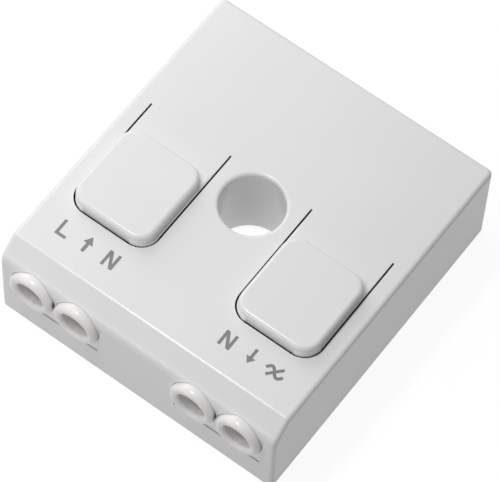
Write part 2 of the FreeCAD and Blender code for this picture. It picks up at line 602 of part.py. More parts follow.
def open_cover(body):
    """The tab windows in the top, the block windows in the front and the hooks' pockets."""
    windows = sketch_on(body, "tab_windows", "XY_Plane", offset="dims.case_height + dims.over")
    window_width = f"{TAB_WIDTH} + 2 * dims.slit_width"
    window_front = f"({TAB_FRONT} - dims.slit_width)"
    window_back = f"({HINGE} + dims.hinge_gap / 2)"
    for side in SIDES.values():
        rectangle(windows, f"{side} * {TAB_MIDDLE}", f"({window_front} + {window_back}) / 2",
                  window_width, f"{window_back} - {window_front}")
    solid = extrude(body, "Pocket", "tab_openings", windows, "dims.roof + 2 * dims.over")
    front_end = value(window_front)
    solid = soften(body, "tab_opening_corners", solid,
                   lambda b: upright(b) and near(b.YMin, front_end) and near(b.YMax, front_end),
                   "dims.tab_corner + dims.slit_width")
    outside = f"-({FRONT} - dims.over)"
    panes = sketch_on(body, "block_windows", "XZ_Plane", offset=outside)
    for side in SIDES.values():
        rectangle(panes, f"{side} * {BLOCK_MIDDLE}", f"({WINDOW_LOW} + {WIRE_Z}) / 2",
                  f"2 * {WINDOW_HALF}", f"{WIRE_Z} - {WINDOW_LOW}")
    extrude(body, "Pocket", "block_openings", panes, "dims.wall + 2 * dims.over")
    for place_in_block in (-1, 1):
        holes = sketch_on(body, f"collar_holes_{place_in_block + 1}", "XZ_Plane", offset=outside)
        for side in SIDES.values():
            circle(holes, wire_x(side, place_in_block), WIRE_Z,
                   "dims.collar_radius + dims.collar_clearance")
        extrude(body, "Pocket", f"collar_openings_{place_in_block + 1}", holes,
                "dims.collar_tail + dims.collar_clearance + dims.over")
    pockets = sketch_on(body, "hook_pockets", "YZ_Plane")
    pocket_low = f"({HOOK_CATCH} - dims.hook_clearance)"
    for way in (-1, 1):
        rectangle(pockets, hook_y(way), f"({pocket_low} + {HOOK_TOP}) / 2",
                  "dims.hook_width + 4 * dims.hook_clearance", f"{HOOK_TOP} - {pocket_low}")
    reach = f"2 * ({INNER_HALF} - dims.base_clearance + dims.hook_nose + dims.hook_clearance)"
    return extrude(body, "Pocket", "hook_recesses", pockets, reach, both_ways=True)


def wire_x(side, place_in_block):
    """The x of a wire axis: side is the block's, and the other sign picks the wire in it."""
    return f"({side} * {BLOCK_MIDDLE} + {place_in_block} * {WIRE_SPREAD})"


def hook_y(way):
    """The y of a snap hook's middle: way is -1 for the front ones and 1 for the back ones."""
    wall = INNER_FRONT if way < 0 else INNER_BACK
    return f"({wall} - {way} * dims.hook_end)"


def make_top_cover():
    body = new_body("top_cover")
    make_cover_walls(body)
    hollow_cover(body)
    open_cover(body)


def make_base_cover():
    """The plate that closes the cover from below, with board posts and snap hooks."""
    body = new_body("base_cover")
    plate = sketch_on(body, "plate_outline", "XY_Plane")
    rectangle(plate, "0", MID, f"2 * ({INNER_HALF} - dims.base_clearance)",
              "dims.case_length - 2 * dims.wall - 2 * dims.base_clearance")
    extrude(body, "Pad", "plate", plate, "dims.base_thickness")
    posts = sketch_on(body, "post_circles", "XY_Plane", offset="dims.base_thickness / 2")
    for side in SIDES.values():
        circle(posts, f"{side} * ({BOARD_HALF} - dims.back_post_inset)",
               f"{BOARD_BACK} - dims.back_post_depth", "dims.post_radius")
        circle(posts, f"{side} * dims.front_post_x", f"{BOARD_FRONT} + dims.front_post_depth",
               "dims.post_radius")
    extrude(body, "Pad", "posts", posts, f"{BOARD_BOTTOM} - dims.base_thickness / 2")
    for way in (-1, 1):
        for side in SIDES.values():
            make_hook(body, way, side)
    hole = circle(sketch_on(body, "base_hole_circle", "XY_Plane", offset="2 * dims.base_thickness"),
                  "0", HOLE_Y, "dims.base_hole_radius")
    solid = extrude(body, "Pocket", "base_hole", hole, "3 * dims.base_thickness")
    radius = value("dims.base_hole_radius")
    floor = level_at(0)
    soften(body, "base_hole_edge", solid, lambda b: floor(b) and near(b.XLength, 2 * radius, 0.1),
           "dims.base_round")


def make_hook(body, way, side):
    """One snap hook: an arm at the plate's edge with an outward nose."""
    name = f"hook_{'front' if way < 0 else 'back'}_{'left' if side < 0 else 'right'}"
    sketch = sketch_on(body, f"{name}_profile", "XZ_Plane", offset=f"-{hook_y(way)}")
    outer = f"({INNER_HALF} - dims.base_clearance)"
    inner = f"({outer} - dims.hook_thickness)"
    nose = f"({outer} + dims.hook_nose)"
    tip = f"({HOOK_TOP} - dims.hook_clearance)"
    heights = [
        (inner, "dims.base_thickness / 2"), (outer, "dims.base_thickness / 2"), (outer, HOOK_CATCH),
        (nose, HOOK_CATCH), (nose, f"{HOOK_CATCH} + dims.hook_lip"), (outer, tip), (inner, tip),
    ]
    polygon(sketch, [(f"{side} * {x}", z) for x, z in heights])
    extrude(body, "Pad", name, sketch, "dims.hook_width", both_ways=True)


# Release tabs


def make_release_tab(side_name):
    """A tongue on a living hinge, with the raised pad above and four push prongs below."""
    side = SIDES[side_name]
    body = new_body(f"release_tab_{side_name}")
    middle = f"{side} * {TAB_MIDDLE}"
    top = "dims.case_height"
    root = f"({HINGE} - dims.hinge_gap / 2)"
    plate = sketch_on(body, f"tab_plate_{side_name}", "XY_Plane", offset=TAB_BOTTOM)
    rectangle(plate, middle, f"({TAB_FRONT} + {root}) / 2", TAB_WIDTH, f"{root} - {TAB_FRONT}")
    solid = extrude(body, "Pad", f"tab_pad_{side_name}", plate, "dims.tab_thickness")
    free_end = value(TAB_FRONT)
    soften(body, f"tab_corners_{side_name}", solid,
           lambda b: upright(b) and near(b.YMin, free_end), "dims.tab_corner")
    relief = sketch_on(body, f"web_relief_{side_name}", "XY_Plane", offset=f"{top} - dims.web_thickness")
    rectangle(relief, middle, f"{root} + (dims.over - dims.web_length) / 2",
              f"{TAB_WIDTH} + dims.over", "dims.web_length + dims.over")
    extrude(body, "Pocket", f"web_{side_name}", relief, "dims.tab_thickness")
    for place_in_block in (-1, 1):
        for way in (-1, 1):
            make_prong(body, side, place_in_block, way)
    raised = sketch_on(body, f"pad_outline_{side_name}", "XY_Plane", offset=top)
    pad_middle = f"{side} * ({TAB_MIDDLE} + (dims.pad_inner - dims.pad_outer) / 2)"
    pad_front = f"({TAB_FRONT} + dims.pad_setback)"
    rounded_rectangle(raised, pad_middle, f"{pad_front} + dims.pad_length / 2",
                      f"({TAB_WIDTH} - dims.pad_inner - dims.pad_outer)", "dims.pad_length",
                      "dims.pad_corner")
    solid = extrude(body, "Pad", f"raised_pad_{side_name}", raised, "dims.pad_height")
    soften(body, f"pad_edge_{side_name}", solid, level_at(value(f"{top} + dims.pad_height")),
           "dims.pad_round")


def make_prong(body, side, place_in_block, way):
    """One prong that pushes a clamp leaf down beside its contact bar."""
    name = f"prong_{'left' if side < 0 else 'right'}_{place_in_block + 1}_{way + 1}"
    across = f"({wire_x(side, place_in_block)} + {way} * dims.prong_spread)"
    sketch = sketch_on(body, f"{name}_profile", "YZ_Plane", offset=across)
    polygon(sketch, [
        (f"{PRONG_MIDDLE} - dims.prong_root / 2", f"{TAB_BOTTOM} + dims.join"),
        (f"{PRONG_MIDDLE} - dims.prong_root / 2", TAB_BOTTOM),
        (f"{PRONG_MIDDLE} - dims.prong_tip / 2", PRONG_TIP_Z),
        (f"{PRONG_MIDDLE} + dims.prong_tip / 2", PRONG_TIP_Z),
        (f"{PRONG_MIDDLE} + dims.prong_root / 2", TAB_BOTTOM),
        (f"{PRONG_MIDDLE} + dims.prong_root / 2", f"{TAB_BOTTOM} + dims.join"),
    ])
    extrude(body, "Pad", name, sketch, "dims.prong_width", both_ways=True)


# Terminals


def make_terminal_block(side_name):
    """A moulded block with two collared wire entries and an open chamber behind each."""
    side = SIDES[side_name]
    middle = f"{side} * {BLOCK_MIDDLE}"
    tag = f"block_{side_name}"
    face_y = f"({FRONT} + dims.block_recess)"
    pieces = [
        box(f"{tag}_nose", middle, BLOCK_FRONT, BOARD_TOP, f"2 * {BLOCK_HALF}",
            "dims.block_nose + dims.join", f"{BLOCK_TOP} - dims.block_nose_drop - {BOARD_TOP}"),
        box(f"{tag}_body", middle, f"{BLOCK_FRONT} + dims.block_nose", BOARD_TOP,
            f"2 * {BLOCK_HALF}", "dims.block_length - dims.block_nose", f"{BLOCK_TOP} - {BOARD_TOP}"),
        box(f"{tag}_face", middle, face_y, f"{WINDOW_LOW} + dims.window_clearance",
            f"2 * ({WINDOW_HALF} - dims.window_clearance)", f"{BLOCK_FRONT} - {face_y} + dims.join",
            f"{WIRE_Z} - {WINDOW_LOW} - dims.window_clearance"),
    ]
    holes = []
    for number, place_in_block in enumerate((-1, 1), start=1):
        x = wire_x(side, place_in_block)
        spot = f"{tag}_{number}"
        pieces.append(rod(f"{spot}_collar", "y", "dims.collar_radius",
                          f"{FRONT} + dims.collar_tail - {BEAD_Y}", x, BEAD_Y, WIRE_Z))
        pieces.append(ring(f"{spot}_bead", "y", "dims.collar_radius - dims.collar_bead",
                           "dims.collar_bead", x, BEAD_Y, WIRE_Z))
        holes += wire_spaces(spot, x)
    solid = joined(f"{tag}_solid", pieces)
    keep(minus(f"{tag}_part", solid, holes), f"terminal_block_{side_name}")


def wire_spaces(spot, x):
    """What a wire and its clamp need cut out of a block."""
    mouth = "(dims.collar_radius - 2 * dims.collar_bead)"
    notch_front = f"({CHAMBER_FRONT} - dims.bar_inset - dims.leg_clearance)"
    return [
        cone(f"{spot}_funnel", "y", mouth, "dims.bore_radius", "dims.funnel_depth",
             x, BEAD_Y, WIRE_Z),
        rod(f"{spot}_bore", "y", "dims.bore_radius", "dims.bore_length + dims.over",
            x, BORE_FRONT, WIRE_Z),
        box(f"{spot}_chamber", x, CHAMBER_FRONT, CHAMBER_FLOOR, "2 * dims.chamber_half",
            "dims.chamber_length", f"{BLOCK_TOP} - {CHAMBER_FLOOR} + dims.over"),
        box(f"{spot}_notch", x, notch_front, f"{BAR_Z} - dims.bar_gap",
            "dims.bar_width + 2 * dims.leg_clearance", "dims.bar_inset + dims.over",
            "dims.bar_thickness + dims.over"),
        box(f"{spot}_slot", x, f"{LEG_BACK} - dims.bar_thickness - dims.leg_clearance",
            f"{BOARD_TOP} - dims.over", "dims.bar_leg + 2 * dims.leg_clearance",
            "dims.bar_thickness + 2 * dims.leg_clearance", "dims.block_floor + 2 * dims.over"),
    ]


def make_contact_bar(label, side, place_in_block):
    """A tinned bar above the wire whose leg goes down through the board."""
    x = wire_x(side, place_in_block)
    bar_front = f"({CHAMBER_FRONT} - dims.bar_inset)"
    bar = box(f"{label}_bar", x, bar_front, BAR_Z, "dims.bar_width", f"{LEG_BACK} - {bar_front}",
              "dims.bar_thickness")
    leg = box(f"{label}_leg", x, f"{LEG_BACK} - dims.bar_thickness", LEG_FOOT, "dims.bar_leg",
              "dims.bar_thickness", f"{BAR_Z} + dims.bar_thickness - {LEG_FOOT}")
    keep(joined(f"{label}_part", [bar, leg]), label)


def make_clamp(suffix, side, place_in_block):
    """A clamp spring in two nodes: the foot with its bend, and the leaf that turns."""
    x = wire_x(side, place_in_block)
    strip = f"clamp_{suffix}"
    flat = box(f"{strip}_flat", x, BEND_Y, f"{CHAMBER_FLOOR} + dims.spring_lift",
               "dims.spring_width", "dims.foot_length", "dims.spring_thickness")
    start_x = f"{x} - dims.spring_width / 2"
    bend = []
    for name, radius in (("outer", SPRING_OUTER), ("inner", SPRING_INNER)):
        sector = rod(f"{strip}_bend_{name}", "x", radius, "dims.spring_width", start_x, BEND_Y, BEND_Z)
        # Local x, y and z become Y, Z and X, and the sector starts where the leaf begins
        turn = FreeCAD.Rotation(FreeCAD.Vector(0, 0, 1), 90 + value(LEAF_ANGLE))
        sector.Placement.Rotation = FreeCAD.Rotation(FreeCAD.Vector(1, 1, 1), 120).multiply(turn)
        bind(sector, {"Angle": f"180 deg - {LEAF_ANGLE}"})
        bend.append(sector)
    curl = minus(f"{strip}_curl", bend[0], bend[1:])
    keep(joined(f"{strip}_foot_part", [flat, curl]), f"clamp_foot_{suffix}")
    leaf = DOC.addObject("Part::Box", f"{strip}_leaf")
    leaf.Placement.Rotation = FreeCAD.Rotation(FreeCAD.Vector(1, 0, 0), value(LEAF_ANGLE))
    bind(leaf, {
        "Length": "dims.spring_width",
        "Width": "dims.leaf_length - dims.spring_gap",
        "Height": "dims.spring_thickness",
    })
    place(leaf, start_x,
          f"{PIVOT_Y} + dims.spring_gap * {LEAF_COS} + {SPRING_HALF} * {LEAF_SIN}",
          f"{PIVOT_Z} + dims.spring_gap * {LEAF_SIN} - {SPRING_HALF} * {LEAF_COS}")
    keep(leaf, f"clamp_leaf_{suffix}")


# Electronics


def make_circuit_board():
    body = new_body("circuit_board")
    outline = sketch_on(body, "board_outline", "XY_Plane", offset=BOARD_BOTTOM)
    rectangle(outline, "0", f"({BOARD_FRONT} + {BOARD_BACK}) / 2", f"2 * {BOARD_HALF}",
              f"{BOARD_BACK} - {BOARD_FRONT}")
    solid = extrude(body, "Pad", "board_plate", outline, "dims.board_thickness")
    soften(body, "board_corners", solid, upright, "dims.board_corner")
    openings = sketch_on(body, "board_openings", "XY_Plane", offset=f"{BOARD_TOP} + dims.over")
    circle(openings, "0", HOLE_Y, f"{TUBE_RADIUS} + dims.board_hole_gap")
    for side in SIDES.values():
        for place_in_block in (-1, 1):
            rectangle(openings, wire_x(side, place_in_block), f"{LEG_BACK} - dims.bar_thickness / 2",
                      "dims.bar_leg + 2 * dims.leg_clearance",
                      "dims.bar_thickness + 2 * dims.leg_clearance")
    extrude(body, "Pocket", "board_cuts", openings, "dims.board_thickness + 2 * dims.over")


def seated(name, component, bottom=BOARD_TOP):
    """The plain body of a board component as a box."""
    size = f"dims.{component}"
    x, front = PLACES[component]
    return box(name, x, front, bottom, f"{size}_width", f"{size}_length", f"{size}_height")


def make_transistor(side_name):
    """A flat power transistor with its metal tab behind and two leads before."""
    side = SIDES[side_name]
    name = f"dimmer_transistor_{side_name}"
    x, front = PLACES["transistor"]
    middle = f"{side} * {x}"
    pieces = [
        box(f"{name}_body", middle, front, BOARD_TOP, "dims.transistor_width",
            "dims.transistor_length", "dims.transistor_height"),
        box(f"{name}_tab", middle, f"{front} + dims.transistor_length", BOARD_TOP,
            "dims.transistor_width - dims.transistor_tab", "dims.transistor_tab",
            "dims.transistor_metal_height"),
    ]
    for way in (-1, 1):
        pieces.append(box(f"{name}_lead_{way + 1}", f"{middle} + {way} * dims.transistor_width / 3",
                          f"{front} - dims.transistor_lead", BOARD_TOP,
                          "dims.transistor_lead_width", "dims.transistor_lead",
                          "dims.transistor_metal_height"))
    keep(joined(f"{name}_part", pieces), name)


def make_chip(label, component, legs_a_side):
    """A chip with a row of legs on its front and back."""
    pieces = [seated(f"{label}_body", component)]
    x, front = PLACES[component]
    starts = (f"{front} - dims.chip_leg", f"{front} + dims.{component}_length")
    for row, start in enumerate(starts):
        for number in range(legs_a_side):
            offset = number - (legs_a_side - 1) / 2
            pieces.append(box(f"{label}_leg_{row}_{number}",
                              f"{x} + {offset} * dims.chip_leg_pitch", start,
                              BOARD_TOP, "dims.chip_leg_width", "dims.chip_leg",
                              "dims.chip_leg_height"))
    keep(joined(f"{label}_part", pieces), label)


def make_cans():
    """The lying and the standing smoothing capacitor."""
    radius = "dims.lying_can_radius"
    x, front = PLACES["lying_can"]
    keep(rod("lying_can", "x", radius, "dims.lying_can_length", f"{x} - dims.lying_can_length / 2",
             f"{front} + {radius}", f"{BOARD_TOP} + {radius}"), "smoothing_capacitor_lying")
    radius = "dims.standing_can_radius"
    x, front = PLACES["standing_can"]
    keep(rod("standing_can", "z", radius, "dims.standing_can_height", x, f"{front} + {radius}",
             BOARD_TOP), "smoothing_capacitor_standing")


def make_choke():
    """A drum choke: two flanges round a narrower winding."""
    radius = "dims.choke_radius"
    x, front = PLACES["choke"]
    y = f"{front} + {radius}"
    head = f"{BOARD_TOP} + dims.choke_height - dims.choke_flange"
    pieces = [
        rod("choke_foot", "z", radius, "dims.choke_flange", x, y, BOARD_TOP),
        rod("choke_winding", "z", "dims.choke_core", "dims.choke_height", x, y, BOARD_TOP),
        rod("choke_head", "z", radius, "dims.choke_flange", x, y, head),
    ]
    keep(joined("choke_part", pieces), "filter_choke")


def make_fuse_resistor():
    """A lying resistor whose bare leads turn down to the board."""
    axis_z = f"({BOARD_TOP} + dims.fuse_lift + dims.fuse_radius)"
    x, front = PLACES["fuse"]
    legs_at = (f"{front} - dims.leg_reach", f"{front} + dims.fuse_length + dims.leg_reach")
    pieces = [
        rod("fuse_body", "y", "dims.fuse_radius", "dims.fuse_length", x, front, axis_z),
        rod("fuse_lead", "y", "dims.lead_radius", "dims.fuse_length + 2 * dims.leg_reach", x,
            legs_at[0], axis_z),
    ]
    for number, spot in enumerate(legs_at):
        pieces.append(rod(f"fuse_leg_{number}", "z", "dims.leg_radius",
                          f"{axis_z} + dims.leg_radius - {BOARD_TOP}", x, spot, BOARD_TOP))
    keep(joined("fuse_part", pieces), "fuse_resistor")


def make_varistor():
    """A standing disc on two leads."""
    radius = "dims.varistor_radius"
    x, front = PLACES["varistor"]
    centre_y = f"({front} + {radius})"
    centre_z = f"({BOARD_TOP} + dims.varistor_lift + {radius})"
    pieces = [rod("varistor_disc", "x", radius, "dims.varistor_thickness",
                  f"{x} - dims.varistor_thickness / 2", centre_y, centre_z)]
    for way in (-1, 1):
        pieces.append(rod(f"varistor_leg_{way + 1}", "z", "dims.lead_radius",
                          f"{centre_z} - {BOARD_TOP}", x,
                          f"{centre_y} + {way} * dims.varistor_lead_spread", BOARD_TOP))
    keep(joined("varistor_part", pieces), "surge_varistor")


def make_radio(pins_a_row):
    """The radio board on its header pins, with the shield can and the antenna."""
    radio_bottom = f"({BOARD_TOP} + dims.radio_lift)"
    radio_top = f"({radio_bottom} + dims.radio_height)"
    keep(seated("radio_plate", "radio", radio_bottom), "radio_board")
    keep(seated("shield_can", "shield", radio_top), "radio_shield")
    keep(seated("antenna_chip", "antenna", radio_top), "radio_antenna")
    pieces = []
    for way in (-1, 1):
        row_y = f"({RADIO_MIDDLE} + {way} * dims.header_spread)"
        pieces.append(box(f"header_bar_{way + 1}", RADIO_X, f"{row_y} - dims.header_bar / 2",
                          BOARD_TOP, f"{pins_a_row} * dims.header_pitch", "dims.header_bar",
                          "dims.header_bar"))
        for number in range(pins_a_row):
            offset = number - (pins_a_row - 1) / 2
            pieces.append(box(f"header_pin_{way + 1}_{number}",
                              f"{RADIO_X} + {offset} * dims.header_pitch",
                              f"{row_y} - dims.header_pin / 2", BOARD_TOP, "dims.header_pin",
                              "dims.header_pin", "dims.radio_lift"))
    keep(joined("header_part", pieces), "header_pins")


def make_small_parts(label, kind, spots):
    """A group of equal small boxes on the board."""
    pieces = []
    for number, (x, front) in enumerate(spots):
        pieces.append(box(f"{label}_{number}", x, front, BOARD_TOP, f"dims.{kind}_width",
                          f"dims.{kind}_length", f"dims.{kind}_height"))
    keep(joined(f"{label}_part", pieces), label)


def check_and_export():
    """Refuse a failed object or a bad shape, then write one STEP file for each sub-part."""
    for thing in DOC.Objects:
        if "Invalid" in thing.State or "Error" in thing.State:
            raise RuntimeError(f"{thing.Label} is {thing.State}")
    for thing in SUB_PARTS:
        if thing.Shape.isNull() or not thing.Shape.isValid():
            raise RuntimeError(f"{thing.Label} has no valid shape")
    for thing in SUB_PARTS:
        thing.Shape.exportStep(f"parts/{thing.Label}.step")
        print(thing.Label, len(thing.Shape.Solids), round(thing.Shape.Volume, 2))


def main():
    fill_sheet()
    make_top_cover()
    make_base_cover()
    for side_name in SIDES:
        make_release_tab(side_name)
        make_terminal_block(side_name)
        make_transistor(side_name)
    for suffix, side, place_in_block in (("live", -1, -1), ("neutral_in", -1, 1),
                                         ("neutral_out", 1, -1), ("dimmed", 1, 1)):
        make_contact_bar(f"contact_bar_{suffix}", side, place_in_block)
        make_clamp(suffix, side, place_in_block)
    make_circuit_board()
    make_chip("bridge_rectifier", "rectifier", 2)
    make_chip("regulator_chip", "regulator", 4)
    make_chip("driver_chip", "driver", 4)
    keep(seated("film_box", "film"), "film_capacitor")
    make_cans()
    make_choke()
    make_fuse_resistor()
    make_varistor()
    make_radio(5)
    make_small_parts("ceramic_capacitors", "ceramic", CERAMIC_SPOTS)
    make_small_parts("chip_resistors", "resistor", RESISTOR_SPOTS)
    DOC.recompute()
    check_and_export()


main()
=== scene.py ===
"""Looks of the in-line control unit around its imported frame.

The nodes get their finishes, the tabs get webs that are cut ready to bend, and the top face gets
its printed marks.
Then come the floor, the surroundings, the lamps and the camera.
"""
import json
import math

import bmesh
import bpy
from mathutils import Matrix, Vector


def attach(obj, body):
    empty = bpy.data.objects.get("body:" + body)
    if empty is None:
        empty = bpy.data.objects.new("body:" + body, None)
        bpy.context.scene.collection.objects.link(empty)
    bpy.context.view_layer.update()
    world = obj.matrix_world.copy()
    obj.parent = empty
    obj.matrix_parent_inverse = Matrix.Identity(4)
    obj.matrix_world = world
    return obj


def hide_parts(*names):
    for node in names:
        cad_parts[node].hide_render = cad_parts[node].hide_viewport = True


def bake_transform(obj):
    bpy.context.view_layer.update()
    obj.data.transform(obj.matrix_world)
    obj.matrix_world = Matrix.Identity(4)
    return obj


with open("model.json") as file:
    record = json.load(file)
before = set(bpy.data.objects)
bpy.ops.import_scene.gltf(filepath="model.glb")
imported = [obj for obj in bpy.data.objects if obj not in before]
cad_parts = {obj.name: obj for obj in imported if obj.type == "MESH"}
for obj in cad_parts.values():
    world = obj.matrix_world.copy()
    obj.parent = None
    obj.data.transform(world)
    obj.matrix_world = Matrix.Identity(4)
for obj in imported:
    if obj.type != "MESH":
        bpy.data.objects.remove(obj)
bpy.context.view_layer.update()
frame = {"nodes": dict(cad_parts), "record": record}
NODES = frame["nodes"]
SCENE = bpy.context.scene
MM = 0.001

# Sizes of the unit that the looks follow, in mm
TOP_Z = 12.5
HOLE_Y = 1.1
HINGE_GAP = 0.08
WEB_LENGTH = 1.2

# How the tabs' meshes are made ready to bend, lengths in mm
WEB_CUTS = 10
WELD_DISTANCE = 0.0005
ROOT_TOLERANCE = 0.01
SMOOTH_ANGLE = math.radians(32)

# Printed marks, in mm; the bar stands higher than the wave that it crosses
MARK_HEIGHT = 0.012
BAR_HEIGHT = MARK_HEIGHT * 1.3
MARK_SUNK = 0.01
STROKE = 0.36
WAVE_STEPS = 20

# The letter N, in strokes: the slant's width and how far it stays off the other ends of the posts
SLANT_WIDTH = 1.15
NOTCH_DEPTH = 1.9

# Colours, and the roughness around which each plastic varies
HOUSING_WHITE = (0.775, 0.772, 0.770)
TERMINAL_WHITE = (0.845, 0.83, 0.822)
INK_GREY = (0.19, 0.19, 0.21)
HOUSING_GLOSS = 0.24
TERMINAL_GLOSS = 0.22
COAT_ROUGHNESS = 0.12

# Where a noise's values mostly lie, and a narrower span that gives it more contrast
NOISE_LOW, NOISE_HIGH = 0.3, 0.7
FLOW_LOW, FLOW_HIGH = 0.35, 0.65

# Painted shade gathered in grooves, slits and funnels, with dust in the grooves too: full where
# the share of open surroundings is "closed" or less, and gone at "opened"; the reach, in m, is how
# far surroundings count
OCCLUSION_SAMPLES = 8
# Dust and painted shade: darker and browner in grooves and corners
GROOVE_DUST_AND_SHADE = {"tint": (0.33, 0.30, 0.26), "reach": 0.5 * MM, "amount": 0.35,
               "closed": 0.15, "opened": 0.75}
# Painted shade that turns slits and narrow gaps near-black
SLIT_PAINTED_SHADE = {"tint": (0.03, 0.028, 0.026), "reach": 0.6 * MM, "amount": 0.96,
              "closed": 0.14, "opened": 0.44}
# Painted shade deep in the terminal funnels and bores
FUNNEL_SHADE = {"tint": (0.05, 0.04, 0.035), "reach": 4 * MM, "amount": 0.95,
                "closed": 0.14, "opened": 0.36}

# How much a metal's noise is stretched, for lines along one axis
LINES_ALONG_Y = (1.0, 0.08, 1.0)
LINES_ALONG_X = (0.08, 1.0, 1.0)

# Floor and surroundings: the floor's reach in m, drops and radius in mm, light as shares of white
FLOOR_REACH = 3.0
FLOOR_DROP = 0.02
FLOOR_GLOW = 0.90
FLOOR_CATCH = 0.16
FLOOR_AS_LIGHT = 0.32
CARD_DROP = 0.01
CARD_RADIUS = 3.9
CARD_SEGMENTS = 48
CARD_AS_LIGHT = 0.8
WORLD_AS_LIGHT = 0.34
WHITE = 1.0

# Lamps: name, place and aim in mm, width and length in mm, power in W
LAMPS = (
    ("back_left", (-114, 66, 98), (0, 0, 10), 130, 120, 0.103),
    # This strip shows as the bright line along the crease
    ("overhead", (-34, -31, 150), (-16, -31, 10), 74, 22, 0.092),
    ("front", (-30, -112, 20), (0, -15, 8), 124, 32, 0.026),
)

# The photograph's camera: angles in degrees, lengths in mm, and the picture's scale at the object
CAMERA_AZIMUTH = 33.5
CAMERA_ELEVATION = 61.67
CAMERA_ROLL = 3.5
CAMERA_DISTANCE = 379.73
CAMERA_AIM = (0.88, 2.96)
CAMERA_BACK = -0.22
PIXELS_PER_MM = 9.14
IMAGE_WIDTH = 500
SENSOR_WIDTH = 36.0

# The depths between which the camera sees, in m
CLIP_START = 10 * MM
CLIP_END = 20.0


# Materials


class Finish:
    """A node material that is built up from its Principled shader."""

    def __init__(self, name, metallic=0.0, coat=0.0):
        self.material = bpy.data.materials.new(name)
        self.material.use_nodes = True
        self.tree = self.material.node_tree
        self.shader = self.tree.nodes["Principled BSDF"]
        self.shader.inputs["Metallic"].default_value = metallic
        self.shader.inputs["Coat Weight"].default_value = coat
        self.shader.inputs["Coat Roughness"].default_value = COAT_ROUGHNESS
        self.place = self.node("ShaderNodeTexCoord").outputs["Object"]

    def node(self, kind, **settings):
        """A new node with its properties set."""
        node = self.tree.nodes.new(kind)
        for name, value in settings.items():
            setattr(node, name, value)
        return node

    def wire(self, source, target):
        self.tree.links.new(source, target)

    def noise(self, scale, detail=2.0, roughness=0.5, stretch=None):
        """Noise with features of about 1 / scale metres."""
        noise = self.node("ShaderNodeTexNoise")
        noise.inputs["Scale"].default_value = scale
        noise.inputs["Detail"].default_value = detail
        noise.inputs["Roughness"].default_value = roughness
        place = self.place
        if stretch:
            mapping = self.node("ShaderNodeMapping")
            mapping.inputs["Scale"].default_value = stretch
            self.wire(self.place, mapping.inputs["Vector"])
            place = mapping.outputs["Vector"]
        self.wire(place, noise.inputs["Vector"])
        return noise.outputs["Fac"]

    def spread(self, source, low, high, to_low, to_high):
        """A number mapped from one range to another, clamped."""
        spread = self.node("ShaderNodeMapRange")
        names = ("From Min", "From Max", "To Min", "To Max")
        for name, value in zip(names, (low, high, to_low, to_high)):
            spread.inputs[name].default_value = value
        self.wire(source, spread.inputs["Value"])
        return spread.outputs["Result"]

    def vary(self, noise, to_low, to_high):
        """A number that a noise moves between two values."""
        return self.spread(noise, NOISE_LOW, NOISE_HIGH, to_low, to_high)

    def mix(self, share, first, second):
        """A colour between two colours, each a value or another node's output."""
        mix = self.node("ShaderNodeMix", data_type="RGBA")
        self.wire(share, mix.inputs["Factor"])
        for name, colour in (("A", first), ("B", second)):
            socket = [item for item in mix.inputs if item.name == name and item.type == "RGBA"][0]
            if isinstance(colour, tuple):
                socket.default_value = (*colour, 1.0)
            else:
                self.wire(colour, socket)
        return [item for item in mix.outputs if item.type == "RGBA"][0]

    def tones(self, share, colour, darker, lighter):
        """A colour that runs between two tones of itself, each a factor."""
        return self.mix(share, tone(colour, darker), tone(colour, lighter))

    def product(self, first, second):
        """Two numbers multiplied."""
        times = self.node("ShaderNodeMath", operation="MULTIPLY")
        self.wire(first, times.inputs[0])
        self.wire(second, times.inputs[1])
        return times.outputs[0]

    def colour(self, source):
        self.wire(source, self.shader.inputs["Base Color"])

    def roughness(self, source):
        self.wire(source, self.shader.inputs["Roughness"])

    def bump(self, height, depth, strength):
        """Relief of a depth in mm from a height between 0 and 1."""
        bump = self.node("ShaderNodeBump")
        bump.inputs["Strength"].default_value = strength
        bump.inputs["Distance"].default_value = depth * MM
        self.wire(height, bump.inputs["Height"])
        self.wire(bump.outputs["Normal"], self.shader.inputs["Normal"])

    def grime_and_shade(self, base, tint, reach, amount, closed, opened):
        """The base colour with painted shade, or dust and painted shade, gathered in grooves and
        corners.
        """
        shade = self.node("ShaderNodeAmbientOcclusion", samples=OCCLUSION_SAMPLES)
        shade.inputs["Distance"].default_value = reach
        return self.mix(self.spread(shade.outputs["AO"], closed, opened, amount, 0.0), base, tint)

    def specks(self, base, tint, cells, size, share):
        """The base colour with sparse specks.

        cells is the cells per metre, size a speck's radius in cells, and share the cells with one.
        """
        cell = self.node("ShaderNodeTexVoronoi")
        cell.inputs["Scale"].default_value = cells
        self.wire(self.place, cell.inputs["Vector"])
        split = self.node("ShaderNodeSeparateColor")
        self.wire(cell.outputs["Color"], split.inputs["Color"])
        near = self.spread(cell.outputs["Distance"], size * 0.5, size, 1.0, 0.0)
        picked = self.spread(split.outputs["Red"], 1 - share, 1 - share * 0.98, 0.0, 1.0)
        return self.mix(self.product(near, picked), base, tint)


def tone(colour, factor):
    """A colour made lighter or darker."""
    return tuple(min(1.0, channel * factor) for channel in colour)


